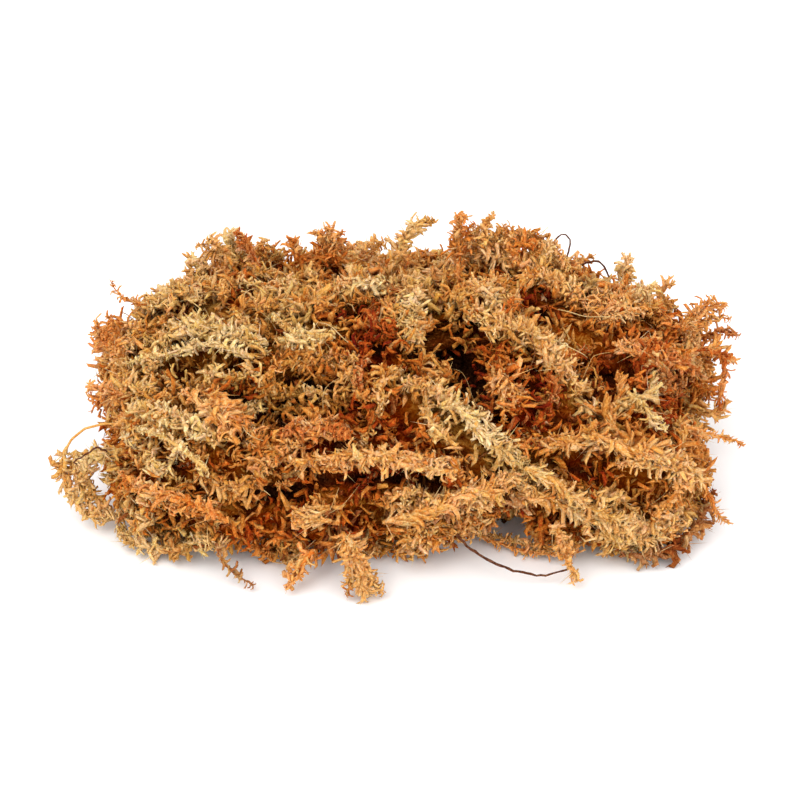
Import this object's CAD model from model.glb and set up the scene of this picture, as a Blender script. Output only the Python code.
import heapq
import math

import bmesh
import bpy
import numpy as np
from mathutils import Matrix, Vector, noise
from mathutils.bvhtree import BVHTree
from mathutils.kdtree import KDTree


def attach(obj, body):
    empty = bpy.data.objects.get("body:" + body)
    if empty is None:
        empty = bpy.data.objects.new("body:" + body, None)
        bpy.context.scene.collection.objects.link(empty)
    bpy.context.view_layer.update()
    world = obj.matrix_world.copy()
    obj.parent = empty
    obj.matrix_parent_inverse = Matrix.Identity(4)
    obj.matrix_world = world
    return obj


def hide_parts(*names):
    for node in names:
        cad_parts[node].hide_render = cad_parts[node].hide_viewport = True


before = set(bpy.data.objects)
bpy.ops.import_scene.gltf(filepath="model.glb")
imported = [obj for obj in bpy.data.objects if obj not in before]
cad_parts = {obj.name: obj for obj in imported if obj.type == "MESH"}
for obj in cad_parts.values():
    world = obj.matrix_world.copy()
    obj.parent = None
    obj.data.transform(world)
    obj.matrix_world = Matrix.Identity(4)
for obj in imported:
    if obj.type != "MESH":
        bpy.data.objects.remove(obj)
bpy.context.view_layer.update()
mm = 0.001
scene = bpy.context.scene
print("frame loaded,", len(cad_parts), "nodes")

# Camera: from the front and above, with a long lens, for a picture 800 pixels square
view = {"elevation": math.radians(35), "aim": Vector((0, 0, 30 * mm)), "widthAtAim": 277.5 * mm,
        "lens": 100, "sensor": 36, "nearest": 50 * mm, "picture": 800}
view["back"] = Vector((0, -math.cos(view["elevation"]), math.sin(view["elevation"])))
view["up"] = Vector((0, math.sin(view["elevation"]), math.cos(view["elevation"])))
view["eye"] = view["aim"] + view["back"] * (view["widthAtAim"] * view["lens"] / view["sensor"])
pixel = view["widthAtAim"] / view["picture"]


def addObject(name, data):
    obj = bpy.data.objects.new(name, data)
    scene.collection.objects.link(obj)
    return obj


def addCamera():
    camera = addObject("camera", bpy.data.cameras.new("camera"))
    camera.data.lens = view["lens"]
    camera.data.clip_start = view["nearest"]
    camera.location = view["eye"]
    camera.rotation_euler = view["back"].to_track_quat("Z", "Y").to_euler()
    scene.camera = camera


def rayThrough(px, py):
    half = view["picture"] / 2
    aim = view["aim"] + Vector((px - half, 0, 0)) * pixel + view["up"] * ((half - py) * pixel)
    return view["eye"], (aim - view["eye"]).normalized()


addCamera()

# Colours of dried moss, linear. The five in toneNames are steps from the palest shoots to the reddest
tones = {"pale": (0.78, 0.55, 0.255), "straw": (0.805, 0.50, 0.205), "golden": (0.80, 0.43, 0.15),
         "orange": (0.775, 0.345, 0.1), "rust": (0.62, 0.22, 0.06), "brown": (0.40, 0.165, 0.055)}
toneNames = ("pale", "straw", "golden", "orange", "rust")

# Patches where one colour is common: place and radius in the picture's pixels, and colour
colourPatches = (
    (655, 360, 55, "rust"), (700, 330, 40, "orange"), (700, 450, 35, "orange"), (512, 395, 36, "orange"),
    (512, 440, 26, "rust"), (318, 440, 34, "rust"), (425, 462, 46, "orange"), (350, 560, 34, "orange"),
    (215, 395, 26, "rust"), (120, 320, 30, "orange"), (330, 262, 26, "orange"), (385, 270, 24, "orange"),
    (535, 250, 26, "orange"), (560, 300, 30, "orange"), (150, 480, 26, "orange"), (560, 520, 30, "straw"),
    (190, 430, 46, "pale"), (215, 355, 40, "pale"), (300, 320, 40, "pale"), (215, 262, 34, "straw"),
    (262, 262, 30, "pale"), (430, 300, 36, "pale"), (505, 455, 30, "pale"), (445, 420, 30, "straw"),
    (150, 540, 30, "pale"), (255, 470, 34, "straw"), (590, 380, 30, "straw"), (640, 470, 40, "straw"),
    (680, 480, 30, "golden"), (440, 530, 40, "golden"), (270, 520, 36, "golden"), (600, 560, 40, "brown"),
    (230, 540, 30, "brown"), (470, 540, 24, "brown"),
)

# Dark hollows between the locks, and the locks that stand proud: strength or colour, radius in pixels, then
# the pixels that each passes through
hollows = (
    (1.0, 15, (440, 345), (462, 366), (478, 388)), (0.6, 11, (435, 320), (470, 330), (500, 345)),
    (0.85, 11, (318, 285)), (0.8, 9, (352, 303)), (0.9, 10, (378, 336)), (0.5, 8, (282, 316), (264, 338)),
    (0.5, 10, (245, 290)), (0.6, 12, (175, 365)), (0.6, 12, (225, 355), (245, 366)),
    (0.9, 11, (215, 380), (250, 395), (280, 405)), (0.95, 8, (290, 382), (330, 380)), (0.8, 9, (350, 398)),
    (0.7, 9, (278, 414)), (0.8, 9, (238, 440)), (0.7, 9, (180, 456)), (0.85, 11, (545, 301)),
    (0.85, 9, (525, 365), (546, 396)), (0.7, 9, (495, 405), (530, 440)), (0.7, 9, (405, 425)),
    (0.8, 10, (250, 500), (290, 495)), (0.7, 7, (300, 479), (350, 479), (400, 476)), (0.85, 12, (432, 486)),
    (0.8, 8, (365, 495)), (0.6, 11, (200, 495)), (0.85, 10, (590, 356), (625, 370)), (0.7, 8, (602, 396)),
    (0.7, 8, (636, 425)), (0.6, 14, (665, 400), (682, 412)), (0.6, 9, (560, 466), (600, 476)), (0.8, 10, (565, 525)),
    (0.5, 9, (505, 510), (520, 516)), (0.5, 9, (560, 412), (582, 430)), (0.5, 9, (440, 281)), (0.6, 8, (386, 545)),
    (0.4, 9, (150, 535), (172, 530)), (0.45, 9, (340, 440), (365, 436)),
)
ropes = (
    ("pale", 10, (150, 345), (185, 328), (225, 332), (265, 345)), ("pale", 8, (285, 345), (325, 336)),
    ("straw", 10, (412, 275), (413, 310), (410, 345)), ("pale", 16, (150, 305), (200, 298)),
    ("straw", 16, (195, 275), (235, 262)), ("pale", 10, (440, 404), (480, 424), (510, 450), (525, 466)),
    ("golden", 8, (425, 385), (465, 402)), ("orange", 9, (320, 466), (370, 456), (420, 455), (455, 463)),
    ("golden", 12, (400, 525), (440, 505), (480, 490), (505, 480)),
    ("straw", 9, (515, 480), (560, 502), (600, 518), (645, 530)),
    ("orange", 14, (490, 378), (515, 394)), ("golden", 10, (505, 320), (540, 348), (570, 375)),
    ("golden", 9, (535, 444), (575, 438), (610, 446)), ("straw", 14, (600, 528), (640, 534), (680, 522)),
    ("golden", 13, (620, 455), (660, 462), (695, 480)), ("orange", 18, (600, 316), (650, 306), (690, 316)),
    ("pale", 11, (130, 412), (170, 420), (215, 438)), ("orange", 9, (205, 388), (235, 418)),
    ("pale", 9, (100, 522), (150, 544), (190, 548)), ("orange", 16, (305, 262), (340, 258), (385, 272)),
    ("golden", 14, (440, 268), (485, 262), (530, 275), (575, 292)), ("golden", 12, (112, 345), (128, 385)),
    ("rust", 13, (290, 432), (335, 425)), ("golden", 17, (405, 528), (435, 530)),
    ("golden", 14, (300, 515), (330, 510)), ("golden", 9, (255, 442), (285, 458)),
    ("rust", 16, (625, 345), (670, 365)), ("golden", 11, (470, 300), (500, 285)),
)


def colourOf(name):
    return np.array(tones[name])


def warmthOf(name):
    return toneNames.index(name) / (len(toneNames) - 1)


def pick(draw, options):
    return options[draw.randint(len(options))]


# The guide is the tangle's form without its points: everything on the tangle is laid over it
guideForm = {"voxel": 3 * mm, "smoothing": 60, "softness": 0.5, "weld": 0.01 * mm}

# The locks stand up as rounded lobes with creases between them, and the shoots follow the creases
lobes = {"size": 19 * mm, "steepness": 2.6, "height": 6 * mm, "sink": 1.6 * mm, "fineSize": 8 * mm,
         "fineHeight": 2.5 * mm}


def lobeAt(place):
    return min(1, abs(noise.noise(place / lobes["size"])) * lobes["steepness"])


def flowAt(place, normal):
    step, here = 1 * mm, noise.noise(place / lobes["size"])
    slope = Vector([noise.noise((place + Vector(axis) * step) / lobes["size"]) - here
                    for axis in ((1, 0, 0), (0, 1, 0), (0, 0, 1))])
    flow = normal.cross(slope)
    return flow.normalized() if flow.length > 1e-9 else normal.orthogonal().normalized()


def makeGuide(voxel, smoothing):
    bm = bmesh.new()
    bm.from_mesh(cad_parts["moss_tangle"].data)
    bmesh.ops.remove_doubles(bm, verts=bm.verts, dist=guideForm["weld"])
    mesh = bpy.data.meshes.new("guide")
    bm.to_mesh(mesh)
    bm.free()
    obj = addObject("guide", mesh)
    remesh = obj.modifiers.new("remesh", "REMESH")
    remesh.mode = "VOXEL"
    remesh.voxel_size = voxel
    smooth = obj.modifiers.new("smooth", "SMOOTH")
    smooth.factor = guideForm["softness"]
    smooth.iterations = smoothing
    found = obj.evaluated_get(bpy.context.evaluated_depsgraph_get())
    bm = bmesh.new()
    bm.from_mesh(found.to_mesh())
    bmesh.ops.triangulate(bm, faces=bm.faces)
    bm.normal_update()
    bpy.data.objects.remove(obj)
    for v, normal in [(v, v.normal.copy()) for v in bm.verts]:
        rise = lobeAt(v.co) * lobes["height"] / lobes["steepness"]
        rise += noise.noise(v.co / lobes["fineSize"]) * lobes["fineHeight"]
        v.co += normal * (rise - lobes["sink"])
    bm.normal_update()
    return bm


guide = makeGuide(guideForm["voxel"], guideForm["smoothing"])
guideTree = BVHTree.FromBMesh(guide)
print("guide ready,", len(guide.faces), "faces")


def onGuide(px, py):
    return guideTree.ray_cast(*rayThrough(px, py))[0]


chainStep = 4 * mm


def chainOf(corners):
    places = [onGuide(*corner) for corner in corners]
    places = [place for place in places if place]
    found = places[:1]
    for first, last in zip(places, places[1:]):
        steps = max(1, round((last - first).length / chainStep))
        found += [first.lerp(last, (i + 1) / steps) for i in range(steps)]
    return found


hollowSpots = np.array([(*place, radius * pixel, strength) for strength, radius, *corners in hollows
                        for place in chainOf(corners)])
ropeSpots = np.array([(*place, radius * pixel, warmthOf(tone)) for tone, radius, *corners in ropes
                      for place in chainOf(corners)])
ropeLines = [(radius * pixel, chainOf(corners)) for tone, radius, *corners in ropes if len(corners) > 1]
patchPlaces = [(onGuide(px, py), radius * pixel, tone) for px, py, radius, tone in colourPatches]
patchPlaces = [patch for patch in patchPlaces if patch[0]]


def nearest(spots, place, widen=1.0):
    away = np.linalg.norm(spots[:, :3] - place, axis=1) / (spots[:, 3] * widen)
    near = np.exp(-away * away)
    best = int(near.argmax())
    return float(near[best]), float(spots[best, 4]), float(spots[best, 3])


def hollowAt(place, widen):
    near, strength, radius = nearest(hollowSpots, place, widen)
    return near * strength


# The guide sinks into the hollows and rises under the ropes
relief = {"sink": 1.15, "rise": 0.45}
for v, normal in [(v, v.normal.copy()) for v in guide.verts]:
    near, strength, radius = nearest(hollowSpots, v.co)
    sunk = near * strength * radius * relief["sink"]
    near, tone, radius = nearest(ropeSpots, v.co)
    v.co += normal * (near * radius * relief["rise"] - sunk)

# At the front a notch goes in under the ropes, where the floor shows
notch = {"x": 34 * mm, "halfWidth": 8 * mm, "wall": -23 * mm, "slope": 1.43, "height": 15 * mm}
for v in guide.verts:
    share = math.exp(-((v.co.x - notch["x"]) / notch["halfWidth"]) ** 4)
    wall = notch["wall"] - notch["slope"] * v.co.z
    if v.co.z < notch["height"] and v.co.y < wall:
        v.co.y += (wall - v.co.y) * share
guide.normal_update()
guideTree = BVHTree.FromBMesh(guide)


gap = {"widen": 1.25, "limit": 0.45}


def inGap(place, limit=gap["limit"]):
    return hollowAt(place, gap["widen"]) > limit


# A place's colour: its warmth goes from 0, pale, to 1, rust. It drifts in wide and close patches, follows the
# named patches and ropes, and is warmer and darker in the creases and hollows
colourField = {"middle": 0.43, "spread": 0.13, "wide": (34 * mm, 0.55), "close": (11 * mm, 0.30), "patch": 0.95,
               "brownShare": 0.05, "brownPatch": 0.2, "rope": 0.85, "ropeWiden": 1.2, "ropeSlope": 0.9,
               "ropeLeast": 0.12, "ropePale": 0.08, "crease": 0.32, "middleCrease": 0.5, "creaseDepth": 0.5,
               "hollowWiden": 1.45, "hollow": 0.8, "hollowUnderRope": 0.6, "hollowWarmth": 0.4, "hollowDepth": 1.0,
               "hollowShade": 0.35}
deepening = {"powers": np.array((0.4, 0.7, 0.85)), "loss": 0.3}


def deeper(tint, depth):
    return tint ** (1 + depth * deepening["powers"]) * (1 - deepening["loss"] * depth)


def colourAt(place, draw):
    field = colourField
    if draw.rand() < field["brownShare"]:
        return colourOf("brown")
    warmth = field["middle"] + draw.normal(0, field["spread"])
    for size, strength in (field["wide"], field["close"]):
        warmth += noise.noise(place / size) * strength
    for middle, radius, tone in patchPlaces:
        near = math.exp(-((place - middle).length / radius) ** 2) * field["patch"]
        warmth += near * (field["brownPatch"] if tone == "brown" else warmthOf(tone) - warmth)
    near, tone, radius = nearest(ropeSpots, place, field["ropeWiden"])
    warmth += near * field["rope"] * (tone * field["ropeSlope"] + field["ropeLeast"] - warmth)
    crease = (1 - lobeAt(place)) * (1 - near)
    hollow = hollowAt(place, field["hollowWiden"])
    warmth += (crease - field["middleCrease"]) * field["crease"] + hollow * field["hollowWarmth"]
    last = len(toneNames) - 1
    steps = max(0, min(last - 0.001, warmth * last))
    first = int(steps)
    tint = colourOf(toneNames[first]) * (first + 1 - steps) + colourOf(toneNames[first + 1]) * (steps - first)
    sunk = hollow * field["hollow"] * (1 - field["hollowUnderRope"] * near)
    depth = crease * field["creaseDepth"] - field["ropePale"] * near + sunk * field["hollowDepth"]
    return deeper(tint, depth) * (1 - sunk * field["hollowShade"])


# Branchlets: slim curled spindles, paler towards the tip, the finest with leaf tips that stand out
branchlet = {"stations": ((0, 0.24, 0.70, 1), (0, 0.12, 0.46, 0.84, 1), (0, 0.10, 0.34, 0.64, 0.90, 1)),
             "girth": ((0, 0.95, 0.9, 0), (0, 0.8, 1.05, 0.88, 0), (0, 0.75, 1.0, 1.0, 0.75, 0)),
             "twist": 1.4, "sway": 0.13, "swayTurn": 4.4, "uneven": (0.8, 1.2), "shade": (0.97, 0.06),
             "shadeUneven": (0.92, 1.08), "darker": (0.85, 1.2, 1.5)}
leafTips = {"from": 0.42, "over": 0.46, "stray": (-0.06, 0.06), "turn": (0, 1.5), "tilt": (0.25, 0.7),
            "length": (0.20, 0.34), "width": 0.42, "depth": 0.3, "foot": 0.5, "outer": 0.7, "paler": 0.15}
branchletDetails = {"fine": (4, 2), "plain": (3, 0), "coarse": (2, 0)}  # rings and leaf tips
goldenTurn = 2.4


def bentAxis(share, bend, sway=0):
    aside = Vector((0, math.sin(share * branchlet["swayTurn"]) * sway, 0))
    angle = bend * share
    at = Vector(((1 - math.cos(angle)) / bend, 0, math.sin(angle) / bend)) + aside
    return at, Vector((math.sin(angle), 0, math.cos(angle))), Vector((math.cos(angle), 0, -math.sin(angle)))


def makeBranchlet(detail, bend, fatness, seed):
    draw = np.random.RandomState(seed)
    rings, tips = branchletDetails[detail]
    stations, girth = branchlet["stations"][rings - 2], branchlet["girth"][rings - 2]
    sway = draw.choice((-1, 1)) * branchlet["sway"]
    bm = bmesh.new()
    shades = {}
    body = bmesh.ops.create_uvsphere(bm, u_segments=3, v_segments=rings + 1, radius=1)["verts"]
    for v in body:
        row = round((1 - math.acos(max(-1, min(1, v.co.z))) / math.pi) * (rings + 1))
        share = stations[row]
        at, along, inward = bentAxis(share, bend, sway)
        angle = math.atan2(v.co.y, v.co.x) + branchlet["twist"] * share
        reach = fatness * girth[row] * draw.uniform(*branchlet["uneven"])
        v.co = at + inward * (math.cos(angle) * reach) + Vector((0, 1, 0)) * (math.sin(angle) * reach)
        shades[v] = (branchlet["shade"][0] + branchlet["shade"][1] * share) * draw.uniform(*branchlet["shadeUneven"])
    for i in range(tips):
        share = leafTips["from"] + leafTips["over"] * (i + 0.5) / tips + draw.uniform(*leafTips["stray"])
        at, along, inward = bentAxis(share, bend)
        side = Matrix.Rotation(i * goldenTurn + draw.uniform(*leafTips["turn"]), 3, along) @ inward
        tilt = draw.uniform(*leafTips["tilt"])
        leafward = along * math.cos(tilt) + side * math.sin(tilt)
        across = along.cross(side)
        size = draw.uniform(*leafTips["length"])
        place = Matrix((across * (fatness * leafTips["width"]), across.cross(leafward) * (fatness * leafTips["depth"]),
                        leafward * size)).transposed().to_4x4()
        place.translation = at + side * (fatness * leafTips["foot"]) + leafward * (size / 2) \
            + Vector((0, math.sin(share * branchlet["swayTurn"]) * sway, 0))
        leaf = bmesh.ops.create_cone(bm, cap_ends=True, cap_tris=False, segments=3, radius1=1, radius2=0, depth=1,
                                     matrix=place)["verts"]
        shades.update({v: 1.0 + leafTips["paler"] * ((v.co - at).length > size * leafTips["outer"]) for v in leaf})
    return shapeOf(bm, lambda v: np.array([shades[v]] * 3) ** branchlet["darker"])


def shapeOf(bm, shadeOf):
    bmesh.ops.triangulate(bm, faces=bm.faces)
    bmesh.ops.recalc_face_normals(bm, faces=bm.faces)
    bm.verts.index_update()
    found = {"points": np.array([v.co for v in bm.verts]),
             "faces": np.array([[v.index for v in f.verts] for f in bm.faces]),
             "shades": np.array([shadeOf(v) for v in bm.verts])}
    bm.free()
    return found


# Kinds of branchlet: by detail, curled in to curled out, thin, middling and fat
curls = (-3.8, -2.9, -2.0, -1.1, 1.0, 1.8, 2.6, 3.5)
fatnesses = (0.08, 0.11, 0.14)
kinds = []
kindNumbers = {}
for detail in branchletDetails:
    for curl in curls:
        for fatness in fatnesses:
            kindNumbers[detail, curl, fatness] = len(kinds)
            kinds.append(makeBranchlet(detail, curl, fatness, len(kinds)))


hair = {"radius": 0.028, "shade": 0.95, "paler": 0.2}


def makeHair():
    bm = bmesh.new()
    bmesh.ops.create_cone(bm, cap_ends=True, cap_tris=False, segments=3, radius1=hair["radius"], radius2=0, depth=1,
                          matrix=Matrix.Translation((0, 0, 0.5)))
    return shapeOf(bm, lambda v: [hair["shade"] + hair["paler"] * v.co.z] * 3)


kindNumbers["hair"] = len(kinds)
kinds.append(makeHair())
print("branchlets ready,", len(kinds), "kinds")

floorGap = 0.25 * mm  # nothing comes nearer to the floor
tipRoom = 1.1 * mm  # and no branchlet's foot or tip comes nearer than this
growth = {"roll": 0.6, "shade": (0.85, 1.0), "greenPower": 1.3, "green": (0.95, 1.05), "bluePower": 1.6,
          "blue": (0.85, 1.15)}


def newHeap():
    names = ("kind", "at", "axes", "size", "tint", "points", "faces", "tints")
    return {**{name: [] for name in names}, "count": 0}


def unit(vector):
    return vector / max(1e-12, math.sqrt(float(vector @ vector)))


def addBranchlet(heap, detail, curl, fatness, at, along, outward, size, tint, draw):
    along = unit(along)
    at = np.array((at[0], at[1], max(at[2], tipRoom)))
    rise = (tipRoom - at[2]) / size
    if along[2] < rise:
        level = math.sqrt(max(0.01, 1 - rise * rise)) / max(0.05, math.hypot(along[0], along[1]))
        along = unit(np.array((along[0] * level, along[1] * level, rise)))
    across = unit(np.cross(along, outward))
    outward = np.cross(across, along)
    roll = draw.normal(0, growth["roll"])
    side = outward * math.cos(roll) + across * math.sin(roll)
    heap["kind"].append(kindNumbers["hair"] if detail == "hair" else kindNumbers[detail, curl, fatness])
    heap["at"].append(at)
    heap["axes"].append((side, np.cross(along, side), along))
    heap["size"].append(size)
    shade = draw.uniform(*growth["shade"])
    green = shade ** growth["greenPower"] * draw.uniform(*growth["green"])
    heap["tint"].append(tint * (shade, green, shade ** growth["bluePower"] * draw.uniform(*growth["blue"])))


def addTube(heap, points, radii, sides, tint):
    points = np.array(points)
    count = len(points)
    along = np.gradient(points, axis=0)
    along /= np.linalg.norm(along, axis=1)[:, None] + 1e-12
    side = unit(np.cross(along[0], (0.3, 0.5, 0.8)))
    rings = []
    angles = np.arange(sides) * 2 * math.pi / sides
    for i in range(count):
        side = unit(side - along[i] * (side @ along[i]))
        other = np.cross(along[i], side)
        rings.append(points[i] + radii[i] * (np.cos(angles)[:, None] * side + np.sin(angles)[:, None] * other))
    first = heap["count"]
    faces = []
    for i in range(count - 1):
        for j in range(sides):
            a, b = i * sides + j, i * sides + (j + 1) % sides
            faces += [(a, b, b + sides), (a, b + sides, a + sides)]
    last = (count - 1) * sides
    for j in range(1, sides - 1):
        faces += [(0, j + 1, j), (last, last + j, last + j + 1)]
    heap["points"].append(np.concatenate(rings))
    heap["faces"].append(np.array(faces) + first)
    heap["tints"].append(np.repeat(np.array(tint)[None], count * sides, axis=0))
    heap["count"] += count * sides


def heapTriangles(heap):
    found = sum(len(f) for f in heap["faces"])
    return found + sum(len(kinds[k]["faces"]) for k in heap["kind"])


def heapMesh(name, heap):
    points, faces, tints = list(heap["points"]), list(heap["faces"]), list(heap["tints"])
    first = heap["count"]
    kind = np.array(heap["kind"], int)
    for number in np.unique(kind):
        chosen = np.flatnonzero(kind == number)
        shape = kinds[number]
        axes = np.array([heap["axes"][i] for i in chosen])
        sizes = np.array([heap["size"][i] for i in chosen])
        at = np.array([heap["at"][i] for i in chosen])
        tint = np.array([heap["tint"][i] for i in chosen])
        placed = np.einsum("vk,nkx->nvx", shape["points"], axes) * sizes[:, None, None] + at[:, None]
        size = len(shape["points"])
        starts = first + np.arange(len(chosen)) * size
        points.append(placed.reshape(-1, 3))
        faces.append((shape["faces"][None] + starts[:, None, None]).reshape(-1, 3))
        tints.append((tint[:, None] * shape["shades"][None]).reshape(-1, 3))
        first += len(chosen) * size
    points, faces, tints = np.concatenate(points), np.concatenate(faces), np.concatenate(tints)
    points[:, 2] = np.maximum(points[:, 2], floorGap)
    mesh = bpy.data.meshes.new(name)
    mesh.vertices.add(len(points))
    mesh.vertices.foreach_set("co", points.astype(np.float32).ravel())
    mesh.loops.add(len(faces) * 3)
    mesh.loops.foreach_set("vertex_index", faces.astype(np.int32).ravel())
    mesh.polygons.add(len(faces))
    mesh.polygons.foreach_set("loop_start", np.arange(0, len(faces) * 3, 3, dtype=np.int32))
    mesh.update(calc_edges=True)
    paint(mesh, tints)
    return mesh


def paint(mesh, tints):
    mesh.shade_smooth()
    colours = np.ones((len(tints), 4), np.float32)
    colours[:, :3] = np.clip(tints, 0, 1)
    layer = mesh.color_attributes.new("mossTint", "FLOAT_COLOR", "POINT")
    layer.data.foreach_set("color", colours.ravel())


# Moss finish: the piece's own tint, deepened along fine fibres and in soft blotches, dry and matt. Each texture has
# its scale, distortion and least and greatest depth, and the bump its strength and height
mossFinish = {"textures": ((1500, 0, (0.72, 1.42)), (110, 0, (0.88, 1.18))), "bump": (0.6, 0.3 * mm),
              "shader": {"Roughness": 0.85, "Specular IOR Level": 0.12, "Subsurface Weight": 0.35,
                         "Subsurface Radius": (1, 0.75, 0.55), "Subsurface Scale": 0.6 * mm}}
textureRange = {"From Min": 0.3, "From Max": 0.7}


def mossMaterial(name, finish):
    made = bpy.data.materials.new(name)
    made.use_nodes = True
    nodes, links = made.node_tree.nodes, made.node_tree.links
    shader = nodes["Principled BSDF"]
    tint = nodes.new("ShaderNodeVertexColor")
    tint.layer_name = "mossTint"
    coordinates = nodes.new("ShaderNodeTexCoord")
    deepen = nodes.new("ShaderNodeGamma")
    bump = nodes.new("ShaderNodeBump")
    bump.inputs["Strength"].default_value, bump.inputs["Distance"].default_value = finish["bump"]
    for number, (scale, distortion, depths) in enumerate(finish["textures"]):
        texture = nodes.new("ShaderNodeTexNoise")
        texture.inputs["Scale"].default_value = scale
        texture.inputs["Distortion"].default_value = distortion
        texture.inputs["Detail"].default_value = 2
        spread = nodes.new("ShaderNodeMapRange")
        for socket, value in {**textureRange, "To Min": depths[0], "To Max": depths[1]}.items():
            spread.inputs[socket].default_value = value
        links.new(coordinates.outputs["Object"], texture.inputs["Vector"])
        links.new(texture.outputs["Fac"], spread.inputs["Value"])
        if number == 0:
            depth = spread.outputs["Result"]
            links.new(texture.outputs["Fac"], bump.inputs["Height"])
        else:
            both = nodes.new("ShaderNodeMath")
            both.operation = "MULTIPLY"
            links.new(depth, both.inputs[0])
            links.new(spread.outputs["Result"], both.inputs[1])
            depth = both.outputs["Value"]
    links.new(tint.outputs["Color"], deepen.inputs["Color"])
    links.new(depth, deepen.inputs["Gamma"])
    links.new(deepen.outputs["Color"], shader.inputs["Base Color"])
    links.new(bump.outputs["Normal"], shader.inputs["Normal"])
    for socket, value in finish["shader"].items():
        shader.inputs[socket].default_value = value
    return made


driedMoss = mossMaterial("driedMoss", mossFinish)
pieceTriangles = {}


def addPiece(mesh, finish, replaced):
    mesh.materials.append(finish)
    obj = addObject(mesh.name, mesh)
    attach(obj, "root")
    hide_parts(replaced)
    pieceTriangles[mesh.name] = len(mesh.polygons)


# Ways that a shoot is leafed. Steps and stems are in millimetres, spreads in degrees from the stem, lengths in
# radii of the shoot
ways = {
    "rope": {"step": 1.2, "count": 3, "spread": (4, 42), "curls": (-3.8, -2.9, -2.9, -2.0, -2.0, -1.1),
             "length": (1.5, 2.8), "stem": 1.0, "fat": (0.08, 0.11, 0.14), "crown": 4},
    "feather": {"step": 1.25, "count": 3, "spread": (12, 56), "curls": (-3.8, -2.9, -2.9, -2.0, -2.0, 1.8),
                "length": (1.4, 2.7), "stem": 0.8, "fat": (0.08, 0.11), "crown": 5},
    "knobbly": {"step": 1.2, "count": 3, "spread": (25, 100), "curls": (-3.8, -3.8, -2.9, 2.6), "length": (1.3, 2.3),
                "stem": 1.0, "fat": (0.11, 0.14), "crown": 5},
    "plume": {"step": 1.3, "count": 3, "spread": (2, 24), "curls": (-2.0, -1.1, -1.1), "length": (2.0, 3.3),
              "stem": 0.8, "fat": (0.08, 0.11), "crown": 5},
    "thin": {"step": 1.4, "count": 2, "spread": (6, 40), "curls": (-2.9, -2.0, -1.1, 1.8), "length": (1.4, 2.5),
             "stem": 0.6, "fat": (0.08, 0.11), "crown": 4},
    "sprig": {"step": 1.2, "count": 4, "spread": (8, 52), "curls": (-2.9, -2.9, -2.0, -2.0, -1.1, 1.8),
              "length": (1.3, 2.5), "stem": 0.8, "fat": (0.08, 0.11, 0.14), "crown": 7},
}
# All shoots: branchlets lean to one side, some are pale whatever the shoot's colour, and some have a fine hair
# beside them. The colour drifts to orange and to straw, and the shoot swells and thins, along its length
leafing = {"pale": 0.12, "paleMix": 0.5, "bareStem": 0.42 * mm, "stemTaper": 0.75, "stemDepth": 0.4,
           "sweep": 0.2, "wave": 2.4, "waveStart": (0.6, 2.5), "driftSize": 14 * mm, "drift": 0.5,
           "blotchSize": 7 * mm, "blotch": 0.9, "swellSize": 5 * mm, "swell": 0.4, "taper": (0.6, 0.4),
           "depth": 0.65, "leastDepth": -0.06, "stray": 0.5, "tipSpread": 0.7, "tipLength": 0.75}
leafHair = {"share": 0.15, "stray": 0.5, "length": 1.15, "power": 0.8}
depthRange = {"from": 0.5 * mm, "over": 6 * mm}  # below the guide's surface


def resample(points, step):
    points = np.array(points)
    lengths = np.r_[0, np.cumsum(np.linalg.norm(np.diff(points, axis=0), axis=1))]
    count = max(4, int(round(lengths[-1] / step)) + 1)
    places = np.linspace(0, lengths[-1], count)
    return np.stack([np.interp(places, lengths, points[:, k]) for k in range(3)], axis=1)


def smoothLine(points, rounds):
    points = np.array(points)
    for _ in range(rounds):
        points[1:-1] = points[1:-1] * 0.5 + (points[:-2] + points[2:]) * 0.25
    return points


def depthAt(place):
    surface, normal = guideTree.find_nearest(Vector(place))[:2]
    lift = (Vector(place) - surface).dot(normal)
    return max(0, min(1, (depthRange["from"] - lift) / depthRange["over"]))


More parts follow.
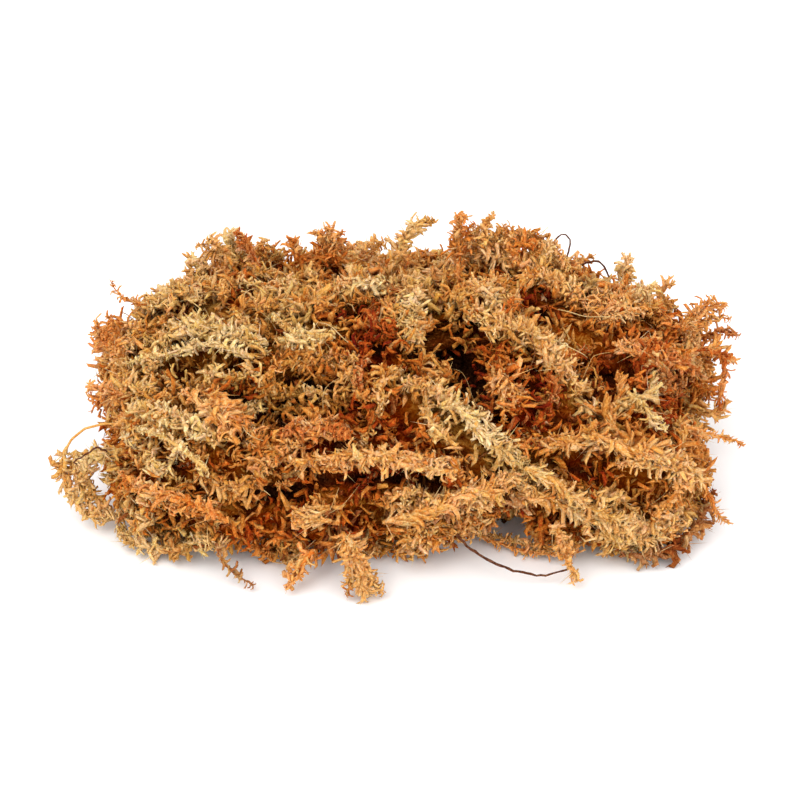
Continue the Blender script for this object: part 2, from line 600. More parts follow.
def leafShoot(heap, line, radius, way, tint, draw, detail="fine", bare=0.0):
    style = ways[way]
    points = resample(line, style["step"] * mm)
    along = np.gradient(points, axis=0)
    along /= np.linalg.norm(along, axis=1)[:, None] + 1e-12
    last = len(points) - 1
    stemRadii = [style["stem"] * mm * (1 - leafing["stemTaper"] * i / last) if i / last >= bare else leafing["bareStem"]
                 for i in range(last + 1)]
    addTube(heap, points, stemRadii, 4 if detail == "fine" else 3, deeper(tint, leafing["stemDepth"]))
    side = unit(np.cross(along[0], (0.2, 0.4, 0.9)))
    turn = draw.uniform(0, 6.28)
    sweep = unit(draw.normal(0, 1, 3) + (0, 0, -0.5)) * leafing["sweep"]
    waveStart = draw.uniform(*leafing["waveStart"])
    for i in range(last + 1):
        share = i / last
        if share < bare:
            continue
        side = unit(side - along[i] * (side @ along[i]))
        aside = np.cross(along[i], side)
        taper = leafing["taper"][0] + leafing["taper"][1] * math.sin(math.pi * min(1, 0.25 + 0.75 * share))
        place = Vector(points[i])
        blotch = noise.noise(place / leafing["blotchSize"]) * leafing["blotch"]
        swell = 1 + leafing["swell"] * noise.noise(place / leafing["swellSize"] + Vector((9, 0, 0)))
        drift = noise.noise(place / leafing["driftSize"] + Vector((0, 7, 0))) * leafing["drift"]
        other = colourOf("orange" if drift > 0 else "straw")
        depth = max(leafing["leastDepth"], min(1, depthAt(place) * leafing["depth"] + blotch))
        shaded = deeper(tint * (1 - abs(drift)) + other * abs(drift), depth)
        wave = sweep * math.sin(leafing["wave"] * share + waveStart)
        for _ in range(style["count"] + (style["crown"] if i == last else 0)):
            turn += goldenTurn + draw.uniform(-leafing["stray"], leafing["stray"])
            outward = side * math.cos(turn) + aside * math.sin(turn)
            spread = math.radians(draw.uniform(*style["spread"])) * (leafing["tipSpread"] if i == last else swell)
            curl = pick(draw, style["curls"])
            size = radius * draw.uniform(*style["length"]) * taper * swell * (leafing["tipLength"] if i == last else 1)
            at = points[i] + along[i] * draw.uniform(-leafing["stray"], leafing["stray"]) * style["step"] * mm
            lean = along[i] * math.cos(spread) + outward * math.sin(spread) + wave
            fatness = pick(draw, style["fat"])
            isPale = draw.rand() < leafing["pale"]
            own = shaded * (1 - leafing["paleMix"]) + colourOf("pale") * leafing["paleMix"] if isPale else shaded
            addBranchlet(heap, detail, curl, fatness, at, lean, outward, size, own, draw)
            if detail != "coarse" and draw.rand() < leafHair["share"]:
                addBranchlet(heap, "hair", 0, 0, at, lean + draw.normal(0, leafHair["stray"], 3), outward,
                             size * leafHair["length"], own ** leafHair["power"], draw)


# A long shoot's line runs through the middles of its solid's rings, told by their distance over the surface
# from one end. It starts at the end nearer to the clump's middle
spine = {"step": 5.5 * mm, "weld": 0.01 * mm, "middle": (0, 9 * mm, 15 * mm), "endShift": 0.4}


def spineOf(node, step=spine["step"]):
    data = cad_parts[node].data
    keys = {}
    index = [keys.setdefault(tuple(np.round(np.array(v.co) / spine["weld"]).astype(int)), len(keys))
             for v in data.vertices]
    places = np.zeros((len(keys), 3))
    for i, v in zip(index, data.vertices):
        places[i] = v.co
    near = [dict() for _ in keys]
    for polygon in data.polygons:
        ring = [index[v] for v in polygon.vertices]
        for a, b in zip(ring, ring[1:] + ring[:1]):
            near[a][b] = near[b][a] = np.linalg.norm(places[a] - places[b])

    def distances(start):
        found = {}
        queue = [(0, start)]
        while queue:
            far, here = heapq.heappop(queue)
            if here in found:
                continue
            found[here] = far
            for there, stretch in near[here].items():
                if there not in found:
                    heapq.heappush(queue, (far + stretch, there))
        return np.array([found.get(i, 0) for i in range(len(places))])

    ringPoints = np.array([len(n) > 4 for n in near])
    start = int(np.argmax(distances(0)))
    far = distances(start)
    edges = np.linspace(0, far.max() + 1e-9, max(3, int(far.max() / step)) + 1)
    line = [places[start]]
    for low, high in zip(edges, edges[1:]):
        chosen = (far >= low) & (far < high) & ringPoints
        if chosen.sum() >= 3:
            line.append(places[chosen].mean(axis=0))
    line.append(places[int(np.argmax(far))])
    line = smoothLine(line, 1)
    middle = np.array(spine["middle"])
    if np.linalg.norm(line[0] - middle) > np.linalg.norm(line[-1] - middle):
        line = line[::-1]
    shift = spine["endShift"]
    line[0] = line[0] * (1 - shift) + line[1] * shift
    line[-1] = line[-1] * shift + line[-2] * (1 - shift)
    fine = resample(line, 1 * mm)
    away = [np.linalg.norm(fine - place, axis=1).min() for place in places[ringPoints]]
    return line, float(np.median(away))


# Each long shoot: how it is leafed and its colour
shoots = {
    "rope_front_middle": ("rope", "golden"), "rope_front_rise": ("plume", "golden"),
    "rope_front_fall": ("plume", "straw"), "loop_pale": ("thin", "pale"),
    "shoot_right_long": ("feather", "straw"), "shoot_right_lower": ("rope", "golden"),
    "sprig_pale_right": ("feather", "pale"), "column_pale": ("rope", "pale"),
    "rope_upper_left": ("rope", "pale"), "knobbly_pale": ("knobbly", "pale"),
    "rope_left_middle": ("rope", "golden"), "sprigs_red": ("knobbly", "rust"),
    "curl_left_pale": ("knobbly", "pale"), "shoot_left_brown": ("rope", "orange"),
    "shoot_crest_left": ("rope", "straw"), "shoot_crest_right": ("rope", "orange"),
    "shoot_middle_back": ("feather", "golden"), "shoot_right_shoulder": ("rope", "rust"),
    "shoot_top_bridge": ("feather", "golden"), "rope_left_rim": ("rope", "pale"),
    "loop_left": ("rope", "straw"), "branch_left_gap": ("feather", "pale"),
    "sprig_left_high": ("thin", "orange"), "sprig_left_middle": ("sprig", "orange"),
    "sprig_left_low": ("sprig", "orange"), "sprig_top_left": ("sprig", "golden"),
    "sprig_top_left_red": ("plume", "rust"), "sprig_crest": ("sprig", "orange"),
    "sprig_crest_low": ("sprig", "golden"), "sprig_top_middle": ("sprig", "straw"),
    "sprig_top_tall": ("sprig", "orange"), "sprig_top_fork": ("sprig", "golden"),
    "shoot_top_arch": ("feather", "golden"), "sprig_top_leaf": ("plume", "straw"),
    "sprig_ridge_pale": ("sprig", "straw"), "sprig_right_corner": ("sprig", "orange"),
    "shoot_right_hanging": ("thin", "rust"), "shoot_right_tip": ("plume", "orange"),
    "shoot_right_knotted": ("knobbly", "golden"), "leaf_right_low": ("plume", "orange"),
    "rope_right_rim": ("rope", "brown"), "tuft_bottom_right": ("rope", "golden"),
    "tuft_bottom_middle": ("plume", "golden"), "tuft_bottom_left": ("rope", "orange"),
    "shoot_bottom_dangling": ("thin", "brown"), "shoot_back_1": ("rope", "golden"),
    "shoot_back_2": ("rope", "pale"), "shoot_back_3": ("knobbly", "orange"),
    "shoot_back_4": ("rope", "straw"), "shoot_back_5": ("feather", "rust"),
    "shoot_back_6": ("rope", "golden"), "shoot_back_7": ("rope", "orange"),
}


# Some start with a bare stem, for a share of their length, and some are thicker than their solid, by radius in
# millimetres. Twins start with their shoot and their tips are shifted, and others lie beside it whole
bareShares = {"loop_left": 0.42, "sprig_left_high": 0.2, "shoot_top_arch": 0.1, "shoot_right_hanging": 0.1}
plumper = {"knobbly_pale": 2.3, "rope_upper_left": 2.5, "curl_left_pale": 2.4, "loop_pale": 2.2, "leaf_right_low": 1.8,
           "shoot_right_tip": 1.8, "sprig_left_high": 2.2, "loop_left": 3.2, "branch_left_gap": 3.6,
           "shoot_right_hanging": 3.2, "tuft_bottom_middle": 3.6, "sprig_top_middle": 3.6, "rope_right_rim": 3.6}
twins = {"sprig_top_tall": ((4, 0, -3), (-2, 0, -6)), "sprig_top_fork": ((5, 0, -3), (-4, 0, -4), (9, 0, -5)),
         "shoot_top_arch": ((1, 0, 4), (-2, 0, -3)), "sprig_crest": ((4, 0, -2), (-4, 0, -2)),
         "sprig_crest_low": ((4, 0, -1),), "sprig_top_left": ((-4, 0, -2), (3, 0, -3)),
         "sprig_right_corner": ((3, 0, -5), (-3, 0, 3)), "sprig_left_middle": ((0, 0, 4),),
         "sprig_left_low": ((0, 0, -4),), "tuft_bottom_middle": ((5, 0, 0), (-5, 0, 0)),
         "sprig_top_leaf": ((-3, 0, -2),)}
beside = {"loop_left": ((4.0, 0, 0.5), (7.5, 0, 1.0))}
twinForm = {"radius": 0.85, "depth": 0.15, "besideStart": 0.06}
leastRadius = {"sprig": 3.2 * mm, "feather": 3.1 * mm, "rope": 3.0 * mm, "knobbly": 3.0 * mm, "plume": 2.6 * mm,
               "thin": 2.6 * mm}
shootCores = []  # places along the long shoots, for the bare stems to grow from


def dressShoots():
    draw = np.random.RandomState(3)
    for node, (way, tone) in shoots.items():
        heap = newHeap()
        line, radius = spineOf(node)
        shootCores.extend(resample(line, 1.5 * mm))
        radius = plumper[node] * mm if node in plumper else max(radius, leastRadius[way])
        bare, tint = bareShares.get(node, 0), colourOf(tone)
        leafShoot(heap, line, radius, way, tint, draw, bare=bare)
        for shift in twins.get(node, ()):
            twin = line + np.linspace(0, 1, len(line))[:, None] * np.array(shift) * mm
            leafShoot(heap, twin, radius * twinForm["radius"], "feather", deeper(tint, twinForm["depth"]), draw,
                      "plain")
        for shift in beside.get(node, ()):
            start = int(len(line) * (bare + twinForm["besideStart"]))
            leafShoot(heap, line[start:] + np.array(shift) * mm, radius, "rope", tint, draw, "plain")
        addPiece(heapMesh(node + "_leafed", heap), driedMoss, node)


dressShoots()
print("long shoots leafed,", sum(pieceTriangles.values()), "triangles")

# Bare stems: a tube through each stem's own line, a little crooked
stems = {"thickness": {"stem_bottom": 0.55 * mm, "rootlet_left": 0.4 * mm, "rootlet_curl": 0.42 * mm,
                       "rootlet_ridge": 0.5 * mm},
         "colour": (0.12, 0.04, 0.016), "tuck": 3 * mm, "spineStep": 3 * mm, "step": 1.6 * mm, "wobble": 0.15 * mm,
         "uneven": (0.8, 1.1), "taper": 0.4, "sides": 6}


def anchorOf(end):
    surface, normal = guideTree.find_nearest(Vector(end))[:2]
    if (Vector(end) - surface).dot(normal) < -stems["tuck"]:
        return end
    below = np.array(surface - normal * stems["tuck"])
    core = shootCores[int(np.argmin([np.linalg.norm(c - end) for c in shootCores]))]
    return min((below, core), key=lambda place: np.linalg.norm(place - end))


# Each stem's ends run on into the moss, to the nearest shoot's core or below the tangle's surface
def dressStems():
    draw = np.random.RandomState(5)
    for node, radius in stems["thickness"].items():
        heap = newHeap()
        line = spineOf(node, stems["spineStep"])[0]
        line = np.vstack([anchorOf(line[0]), line, anchorOf(line[-1])])
        points = smoothLine(resample(line, stems["step"]), 2)
        points[1:-1] += draw.normal(0, stems["wobble"], points[1:-1].shape)
        radii = [radius * draw.uniform(*stems["uneven"]) * (1 - stems["taper"] * i / len(points))
                 for i in range(len(points))]
        addTube(heap, points, radii, stems["sides"], stems["colour"])
        addPiece(heapMesh(node + "_bare", heap), driedMoss, node)


dressStems()

# The tangle's strands: short shoots that wander over the guide, above and below each other
strands = {"outer": 166, "outerRoom": 6 * mm, "outerLift": (-3.0 * mm, 1.0 * mm), "outerGap": 0.4, "lengthwise": 1.6,
           "inner": 110, "innerRoom": 5 * mm, "innerLift": (-7.0 * mm, -4.0 * mm), "innerGap": 0.6, "innerDepth": 0.25,
           "step": 3 * mm, "length": (24 * mm, 48 * mm), "radius": (2.6 * mm, 3.4 * mm), "turn": 0.33, "keptTurn": 0.7,
           "newTurn": 0.5, "pace": (0.5, 1.2), "follow": 0.5, "tuck": 3 * mm, "tucked": 0.6,
           "ways": ("rope", "rope", "feather", "feather", "knobbly", "knobbly", "plume", "thin")}
ropeForm = {"wide": 4 * mm, "wideAsides": (-0.5, 0.0, 0.5), "asides": (-0.35, 0.35), "stray": 0.6 * mm,
            "lift": (-0.5 * mm, 1.5 * mm), "tuck": 2.5 * mm, "ways": ("rope", "plume", "feather")}
regions = ("front_left", "front_middle", "front_right", "back_left", "back_middle", "back_right", "under")
regionEdges = {"side": 36 * mm, "back": 4 * mm, "under": 2.5 * mm}
heaps = {name: newHeap() for name in regions}
faceAreas = np.array([f.calc_area() for f in guide.faces])
faceMiddles = [f.calc_center_median() for f in guide.faces]
faceNormals = [f.normal.copy() for f in guide.faces]
isUnder = np.array([m.z < regionEdges["under"] and n.z < -0.5 for m, n in zip(faceMiddles, faceNormals)])
topAreas = faceAreas * np.where(isUnder, 0, 1)


def regionOf(place):
    side = "left" if place.x < -regionEdges["side"] else "right" if place.x > regionEdges["side"] else "middle"
    return ("front_" if place.y < regionEdges["back"] else "back_") + side


def spreadStarts(count, weights, room, draw):
    found = []
    for number in draw.choice(len(weights), size=count * 12, p=weights / weights.sum()):
        place = faceMiddles[number]
        if all((place - other).length > room for other, _ in found):
            found.append((place, faceNormals[number]))
        if len(found) == count:
            break
    return found


def wander(start, heading, length, lifts, draw, tuckStart=True, tuckEnd=True):
    count = max(4, int(length / strands["step"]))
    place = start.copy()
    heading = heading.copy()
    turn = draw.normal(0, strands["turn"])
    wave = draw.uniform(0, 6.28)
    pace = draw.uniform(*strands["pace"])
    line = []
    for i in range(count):
        place, normal = guideTree.find_nearest(place)[:2]
        turn = turn * strands["keptTurn"] + draw.normal(0, strands["turn"]) * strands["newTurn"]
        heading = Matrix.Rotation(turn, 3, normal) @ heading
        flow = flowAt(place, normal)
        heading += flow * (math.copysign(strands["follow"], flow.dot(heading)))
        heading = (heading - normal * heading.dot(normal)).normalized()
        share = 0.5 + 0.5 * math.sin(wave + i * pace)
        lift = lifts[0] + (lifts[1] - lifts[0]) * share
        if (i == 0 and tuckStart) or (i == count - 1 and tuckEnd):
            lift -= strands["tuck"]
        line.append(np.array(place + normal * lift))
        place = place + heading * strands["step"]
    return smoothLine(line, 1)


def headingAt(normal, draw, lengthwise):
    random = Vector(draw.normal(0, 1, 3)) + Vector((lengthwise * draw.choice((-1, 1)), 0, 0))
    return (random - normal * random.dot(normal)).normalized()


def outsideGaps(line, share):
    runs, run = [], []
    for point in line:
        if inGap(Vector(point), share):
            runs.append(run)
            run = []
        else:
            run.append(point)
    return [np.array(found) for found in runs + [run] if len(found) >= 4]


def addStrands(draw):
    for start, normal in spreadStarts(strands["inner"], topAreas, strands["innerRoom"], draw):
        line = wander(start, headingAt(normal, draw, 1.0), draw.uniform(*strands["length"]), strands["innerLift"], draw)
        tint = deeper(colourAt(start, draw), strands["innerDepth"])
        for run in outsideGaps(line, strands["innerGap"]):
            leafShoot(heaps[regionOf(start)], run, draw.uniform(*strands["radius"]), "rope", tint, draw, "coarse")
    for start, normal in spreadStarts(strands["outer"], topAreas, strands["outerRoom"], draw):
        line = wander(start, headingAt(normal, draw, strands["lengthwise"]), draw.uniform(*strands["length"]),
                      strands["outerLift"], draw, tuckEnd=draw.rand() < strands["tucked"])
        way = pick(draw, strands["ways"])
        tint = colourAt(start, draw)
        for run in outsideGaps(line, strands["outerGap"]):
            leafShoot(heaps[regionOf(start)], run, draw.uniform(*strands["radius"]), way, tint, draw, "plain")


# and two or three side by side along each rope, its ends tucked in
def addRopes(draw):
    for radius, corners in ropeLines:
        for aside in ropeForm["wideAsides"] if radius > ropeForm["wide"] else ropeForm["asides"]:
            line = []
            for i, corner in enumerate(corners):
                place, normal = guideTree.find_nearest(corner)[:2]
                along = (corners[min(i + 1, len(corners) - 1)] - corners[max(i - 1, 0)]).normalized()
                place = place + normal.cross(along).normalized() * (radius * aside + draw.normal(0, ropeForm["stray"]))
                isEnd = i in (0, len(corners) - 1)
                line.append(np.array(place + normal * (draw.uniform(*ropeForm["lift"]) - isEnd * ropeForm["tuck"])))
            line = smoothLine(line, 2)
            if len(line) < 4:
                line = resample(line, strands["step"])
            tint = colourAt(corners[len(corners) // 2], draw)
            way = pick(draw, ropeForm["ways"])
            line = line[::draw.choice((-1, 1))]
            leafShoot(heaps[regionOf(corners[0])], line, draw.uniform(*strands["radius"]), way, tint, draw, "plain")


tangleDraw = np.random.RandomState(7)
addStrands(tangleDraw)
addRopes(tangleDraw)
print("strands laid,", sum(heapTriangles(heap) for heap in heaps.values()), "triangles")

# Single curls that lie close on the matted depth, combed in locks
underlay = {"count": 7300, "underShare": 0.5, "scatter": 1 * mm, "gapLimit": 0.75, "gapSkip": 0.7,
            "lift": (-5.5 * mm, -2.5 * mm), "deepest": 9 * mm, "length": (6 * mm, 9 * mm), "rise": (0.0, 0.5),
            "stray": 0.45}


def addCurl(name, at, along, normal, lengths, tint, draw):
    curl, fatness = pick(draw, curls), pick(draw, fatnesses)
    addBranchlet(heaps[name], "coarse", curl, fatness, np.array(at), np.array(along), np.array(normal),
                 draw.uniform(*lengths), tint, draw)


def addUnderlay():
    draw = np.random.RandomState(29)
    weights = faceAreas * np.where(isUnder, underlay["underShare"], 1)
    for number in draw.choice(len(weights), size=underlay["count"], p=weights / weights.sum()):
        normal = faceNormals[number]
        start = faceMiddles[number] + Vector(draw.normal(0, underlay["scatter"], 3))
        if inGap(start, underlay["gapLimit"]) and draw.rand() < underlay["gapSkip"]:
            continue
        flow = flowAt(start, normal) * draw.choice((-1, 1)) + Vector(draw.normal(0, underlay["stray"], 3))
        along = flow + normal * draw.uniform(*underlay["rise"])
        lift = draw.uniform(*underlay["lift"])
        tint = deeper(colourAt(start, draw), min(1, -lift / underlay["deepest"]))
        name = "under" if isUnder[number] else regionOf(start)
        addCurl(name, start + normal * lift, along, normal, underlay["length"], tint, draw)


addUnderlay()
print("underlay set,", sum(heapTriangles(heap) for heap in heaps.values()), "triangles")

# Loose tufts of branchlets that stick out between the strands
tufts = {"count": 150, "room": 5 * mm, "branchlets": (7, 12), "length": (4.5 * mm, 7 * mm), "uneven": (0.7, 1.15),
         "lengthwise": 0.8, "rise": (0.1, 0.8), "spread": 0.45, "scatter": 1 * mm, "lift": (-3 * mm, 0 * mm),
         "curls": (-2.9, -2.0, -1.1, 1.8), "fat": (0.08, 0.11)}


def addTufts():
    draw = np.random.RandomState(9)
    for start, normal in spreadStarts(tufts["count"], topAreas, tufts["room"], draw):
        if inGap(start):
            continue
        heading = headingAt(normal, draw, tufts["lengthwise"])
        along = unit(np.array(heading + normal * draw.uniform(*tufts["rise"])))
        foot = np.array(start + normal * draw.uniform(*tufts["lift"]))
        tint = colourAt(start, draw)
        size = draw.uniform(*tufts["length"])
        for _ in range(draw.randint(*tufts["branchlets"])):
            lean = along + draw.normal(0, tufts["spread"], 3)
            addBranchlet(heaps[regionOf(start)], "fine", pick(draw, tufts["curls"]), pick(draw, tufts["fat"]),
                         foot + draw.normal(0, tufts["scatter"], 3), lean, np.array(normal),
                         size * draw.uniform(*tufts["uneven"]), tint, draw)


addTufts()
print("tufts set")

# Rosettes: the dense heads of shoots, with short leaves all round
rosettes = {"count": 60, "room": 9 * mm, "branchlets": (16, 26), "length": (3.4 * mm, 5.2 * mm), "spread": 0.75,
            "scatter": 1.2 * mm, "lift": -1 * mm, "warmer": (1, 0.88, 0.75), "curls": (-3.8, -2.9, -2.0), "fat": 0.14}


def addRosettes():
    draw = np.random.RandomState(13)
    for start, normal in spreadStarts(rosettes["count"], topAreas, rosettes["room"], draw):
        if inGap(start):
            continue
        foot = np.array(start + normal * rosettes["lift"])
        outward = np.array(normal)
        tint = colourAt(start, draw) * rosettes["warmer"]
        for _ in range(draw.randint(*rosettes["branchlets"])):
            lean = outward + draw.normal(0, rosettes["spread"], 3)
            addBranchlet(heaps[regionOf(start)], "plain", pick(draw, rosettes["curls"]), rosettes["fat"],
                         foot + draw.normal(0, rosettes["scatter"], 3), lean, outward,
                         draw.uniform(*rosettes["length"]), tint, draw)


addRosettes()
print("rosettes set")

# Risers: short shoots that stand up along the edges: foot in pixels, the tip's shift to the right and up in
# millimetres, and colour
risers = (
    (650, 308, 0, 8, "straw"), (662, 306, 2, 9, "golden"), (674, 305, 3, 8, "orange"), (686, 308, 4, 9, "golden"),
    (697, 313, 6, 8, "orange"), (704, 322, 9, 5, "orange"), (705, 336, 10, 1, "rust"), (702, 350, 9, -3, "orange"),
    (700, 410, 8, 2, "golden"), (640, 305, -1, 7, "pale"), (300, 262, -2, 7, "orange"), (320, 258, 1, 8, "orange"),
    (260, 258, 2, 7, "golden"), (205, 262, -3, 8, "straw"),
    (190, 272, -5, 7, "straw"), (232, 256, 0, 7, "pale"), (150, 295, -6, 6, "straw"), (165, 285, -4, 6, "golden"),
    (128, 325, -6, 3, "orange"), (118, 350, -5, 2, "orange"), (200, 280, -3, 7, "straw"), (210, 275, -1, 7, "straw"),
    (478, 232, 1, 9, "orange"), (486, 232, 3, 9, "golden"), (690, 300, 2, 8, "golden"), (116, 535, -3, -1, "golden"),
    (680, 300, 1, 9, "golden"), (668, 300, -1, 8, "straw"), (505, 258, 2, 8, "golden"), (515, 262, 4, 7, "orange"),
    (525, 262, 5, 6, "golden"), (475, 256, 0, 9, "orange"), (486, 258, 2, 8, "golden"),
    (640, 548, 2, -4, "brown"), (665, 545, 4, -4, "brown"),
)
riserForm = {"bow": 1 * mm, "below": -0.4, "radius": (2.4, 3.2), "ways": ("feather", "sprig", "plume")}


def addRisers():
    draw = np.random.RandomState(37)
    for px, py, right, up, tone in risers:
        foot = onGuide(px, py)
        if not foot:
            continue
        bow = draw.normal(0, riserForm["bow"], 3)
        line = [np.array(foot) + np.array((right, 0, up)) * mm * share + bow * math.sin(share * math.pi)
                for share in np.linspace(riserForm["below"], 1, 5)]
        way = pick(draw, riserForm["ways"])
        radius = draw.uniform(*riserForm["radius"]) * mm
        leafShoot(heaps[regionOf(foot)], line, radius, way, colourOf(tone), draw, "plain")


# A mossy strand lies on the floor across the mouth of the notch, its corners in millimetres, with another behind it
mouthStrand = {"corners": ((20, -38, 6), (26, -42, 3.5), (33, -45.5, 2.6), (40, -48, 2.4), (47, -51, 2.6), (54, -54, 4),
                           (60, -55, 7)), "radius": 2.4 * mm, "behind": (0, 2.5 * mm, 0.6 * mm)}


def addMouthStrand():
    line = smoothLine(np.array(mouthStrand["corners"]) * mm, 1)
    draw = np.random.RandomState(41)
    leafShoot(heaps["front_middle"], line, mouthStrand["radius"], "thin", colourOf("orange"), draw, "plain")
    leafShoot(heaps["front_middle"], line[::-1] + mouthStrand["behind"], mouthStrand["radius"], "feather",
              colourOf("golden"), draw, "plain")


addRisers()
addMouthStrand()
print("risers set")

# Fine hairs and thin bare stems that lie across the clump
hairs = {"count": 110, "room": 6 * mm, "lengthwise": 0.5, "length": (14 * mm, 34 * mm),
         "radius": (0.12 * mm, 0.30 * mm), "step": 2 * mm, "taper": 0.5, "lift": (-1 * mm, 4 * mm),
         "tones": ("brown", "pale", "straw", "brown"), "shade": (0.5, 1.0)}


def addHairs():
    draw = np.random.RandomState(17)
    for start, normal in spreadStarts(hairs["count"], topAreas, hairs["room"], draw):
        heading = headingAt(normal, draw, hairs["lengthwise"])
        line = wander(start, heading, draw.uniform(*hairs["length"]), hairs["lift"], draw)
        points = resample(smoothLine(line, 2), hairs["step"])
        thickness = draw.uniform(*hairs["radius"])
        tint = colourOf(pick(draw, hairs["tones"])) * draw.uniform(*hairs["shade"])
        radii = [thickness * (1 - hairs["taper"] * i / len(points)) for i in range(len(points))]
        addTube(heaps[regionOf(start)], points, radii, 3, tint)


addHairs()
print("hairs laid")

# The underside: flattened strands where the clump lies, and a skirt of strands round its foot
underside = {"count": 40, "room": 6 * mm, "lengthwise": 0.6, "lift": (-2.0 * mm, -0.5 * mm), "radius": 2.6 * mm}
skirt = {"count": 44, "room": 7 * mm, "height": 11 * mm, "steepest": 0.85, "lift": (-2.5 * mm, 0.8 * mm),
         "length": (18 * mm, 30 * mm), "lowest": 2.2 * mm, "ways": ("rope", "feather", "knobbly")}


def addUnderside():
    draw = np.random.RandomState(19)
    for start, normal in spreadStarts(underside["count"], faceAreas * isUnder, underside["room"], draw):
        heading = headingAt(normal, draw, underside["lengthwise"])
        line = wander(start, heading, draw.uniform(*strands["length"]), underside["lift"], draw, False, False)
        leafShoot(heaps["under"], line, underside["radius"], "rope", colourAt(start, draw), draw, "coarse")


def addSkirt():
    draw = np.random.RandomState(23)
    isLow = np.array([m.z < skirt["height"] and abs(n.z) < skirt["steepest"] for m, n in zip(faceMiddles, faceNormals)])
    for start, normal in spreadStarts(skirt["count"], faceAreas * isLow, skirt["room"], draw):
        heading = normal.cross(Vector((0, 0, 1))).normalized() * draw.choice((-1, 1))
        line = wander(start, heading, draw.uniform(*skirt["length"]), skirt["lift"], draw)
        line[:, 2] = np.maximum(line[:, 2], skirt["lowest"])
        way, radius = pick(draw, skirt["ways"]), draw.uniform(*strands["radius"])
        leafShoot(heaps[regionOf(start)], line, radius, way, colourAt(start, draw), draw, "plain")


addUnderside()
addSkirt()

# Deep in the clump the strands are matted together: a fibrous mass, seen between the shoots and dark in the gaps
mattedDepth = {"voxel": 2.4 * mm, "smoothing": 110, "inset": 5.0 * mm, "cover": 4.8 * mm, "lowest": 2 * mm,
               "ripples": ((7 * mm, 2.4 * mm), (2.6 * mm, 1.1 * mm)), "rippleTone": 0.12, "tone": 1.0, "shade": 0.6,
               "gapWiden": 1.3, "gapStrength": 1.5, "gapTone": (0.042, 0.015, 0.006), "gapPush": 1.6}
mattedFinish = {"textures": ((420, 2.5, (1.6, 0.85)),), "bump": (0.8, 0.8 * mm),
                "shader": {"Roughness": 1, "Specular IOR Level": 0}}

# Where no branchlet stands near, single curls lie on it
deepCurls = {"count": 2000, "bareFrom": 1.8 * mm, "scatter": 0.8 * mm, "stray": 0.6, "length": (6 * mm, 9 * mm),
             "rise": (0.05, 0.5), "depth": (0.1, 0.6), "shade": 0.7, "hollowShade": 0.8, "under": 4 * mm}


def addDeepCurls(bm, draw):
    stands = [at for heap in heaps.values() for at in heap["at"]]
    tree = KDTree(len(stands))
    for i, at in enumerate(stands):
        tree.insert(at, i)
    tree.balance()
    middles = [f.calc_center_median() for f in bm.faces]
    hollowLayer = bm.verts.layers.float["hollow"]
    sunk = [sum(v[hollowLayer] for v in f.verts) / len(f.verts) for f in bm.faces]
    weights = np.array([f.calc_area() * max(0, tree.find(m)[2] - deepCurls["bareFrom"]) * (1 - share) ** 2
                        for f, m, share in zip(bm.faces, middles, sunk)])
    normals = [f.normal.copy() for f in bm.faces]
    for number in draw.choice(len(weights), size=deepCurls["count"], p=weights / weights.sum()):
        middle, normal = middles[number], normals[number]
        start = middle + Vector(draw.normal(0, deepCurls["scatter"], 3))
        along = flowAt(start, normal) * draw.choice((-1, 1)) + Vector(draw.normal(0, deepCurls["stray"], 3))
        along = (along - normal * along.dot(normal)).normalized() + normal * draw.uniform(*deepCurls["rise"])
        tint = deeper(colourAt(start, draw), draw.uniform(*deepCurls["depth"])) * deepCurls["shade"]
        tint = tint * (1 - deepCurls["hollowShade"] * sunk[number])
        name = "under" if start.z < deepCurls["under"] and normal.z < -0.5 else regionOf(start)
        addCurl(name, start, along, normal, deepCurls["length"], tint, draw)


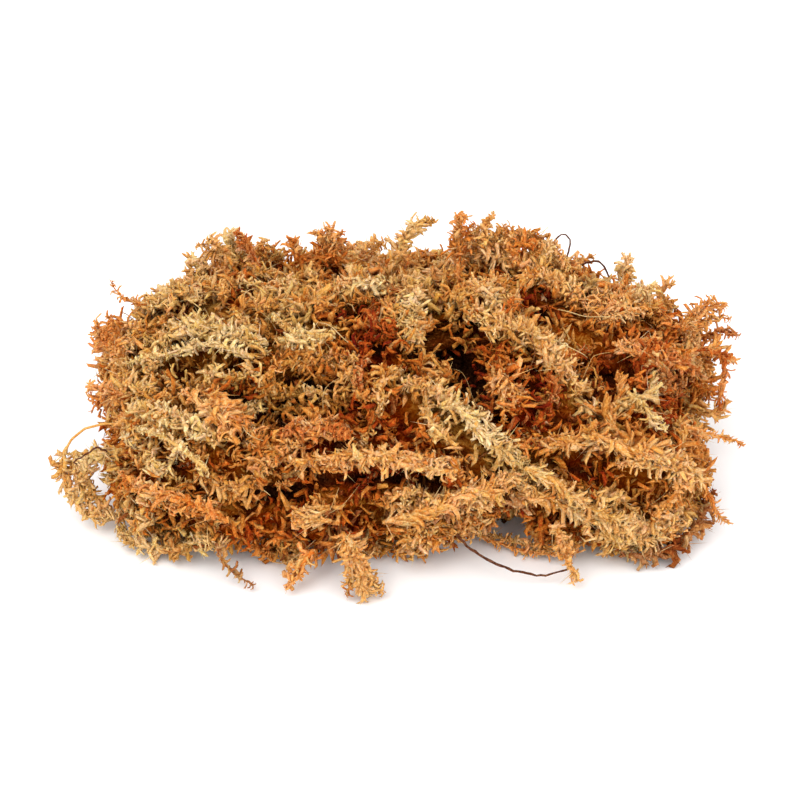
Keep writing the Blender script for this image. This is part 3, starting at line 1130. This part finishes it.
def addMattedDepth():
    draw = np.random.RandomState(31)
    bm = makeGuide(mattedDepth["voxel"], mattedDepth["smoothing"])
    hollowLayer = bm.verts.layers.float.new("hollow")
    moves, tints = [], []
    for v in bm.verts:
        ripple = sum(noise.noise(v.co / size) * height for size, height in mattedDepth["ripples"])
        push = mattedDepth["inset"] - ripple
        depth = mattedDepth["tone"] - mattedDepth["rippleTone"] * ripple / mm
        tint = deeper(colourAt(v.co, draw), depth) * mattedDepth["shade"]
        near, strength, radius = nearest(hollowSpots, v.co, mattedDepth["gapWiden"])
        share = v[hollowLayer] = min(1, near * strength * mattedDepth["gapStrength"])
        tint = tint * (1 - share) + np.array(mattedDepth["gapTone"]) * share
        moves.append(v.normal * -(push + near * strength * radius * mattedDepth["gapPush"]))
        tints.append(tint)
    for v, move in zip(bm.verts, moves):
        v.co += move
        surface, normal = guideTree.find_nearest(v.co)[:2]
        lift = (v.co - surface).dot(normal)
        if lift > -mattedDepth["cover"]:
            v.co -= normal * (lift + mattedDepth["cover"])
        v.co.z = max(v.co.z, mattedDepth["lowest"])
    bm.normal_update()
    addDeepCurls(bm, draw)
    bm.verts.layers.float.remove(hollowLayer)
    mesh = bpy.data.meshes.new("tangle_depth")
    bm.to_mesh(mesh)
    bm.free()
    paint(mesh, np.array(tints))
    addPiece(mesh, mossMaterial("mattedMoss", mattedFinish), "moss_tangle")


addMattedDepth()
for region, heap in heaps.items():
    addPiece(heapMesh("tangle_" + region, heap), driedMoss, "moss_tangle")
    print("tangle", region, pieceTriangles["tangle_" + region], "triangles")
guide.free()
print("moss in all,", sum(pieceTriangles.values()), "triangles")

# Studio: a plain pale floor and soft light from above
studio = {"floorSize": 6, "floorColour": (0.93, 0.93, 0.93), "floorRoughness": 0.9, "world": 1.28,
          "keyLight": {"at": (-0.5, -0.5, 1.1), "size": 0.9, "power": 7},
          "fillLight": {"at": (0.8, -0.8, 0.6), "size": 1.0, "power": 4}}


def addLight(name):
    light = studio[name]
    data = bpy.data.lights.new(name, "AREA")
    data.energy = light["power"]
    data.size = light["size"]
    obj = addObject(name, data)
    obj.location = light["at"]
    obj.rotation_euler = Vector(light["at"]).to_track_quat("Z", "Y").to_euler()


def addStudio():
    bm = bmesh.new()
    bmesh.ops.create_grid(bm, x_segments=1, y_segments=1, size=studio["floorSize"] / 2)
    mesh = bpy.data.meshes.new("floor")
    bm.to_mesh(mesh)
    bm.free()
    finish = bpy.data.materials.new("paleFloor")
    finish.use_nodes = True
    shader = finish.node_tree.nodes["Principled BSDF"]
    shader.inputs["Base Color"].default_value = (*studio["floorColour"], 1)
    shader.inputs["Roughness"].default_value = studio["floorRoughness"]
    shader.inputs["Specular IOR Level"].default_value = 0
    mesh.materials.append(finish)
    floor = addObject("floor", mesh)
    world = bpy.data.worlds.new("studio")
    scene.world = world
    world.use_nodes = True
    world.node_tree.nodes["Background"].inputs["Color"].default_value = (1, 1, 1, 1)
    world.node_tree.nodes["Background"].inputs["Strength"].default_value = studio["world"]
    addLight("keyLight")
    addLight("fillLight")
    scene.view_settings.view_transform = "Standard"


addStudio()
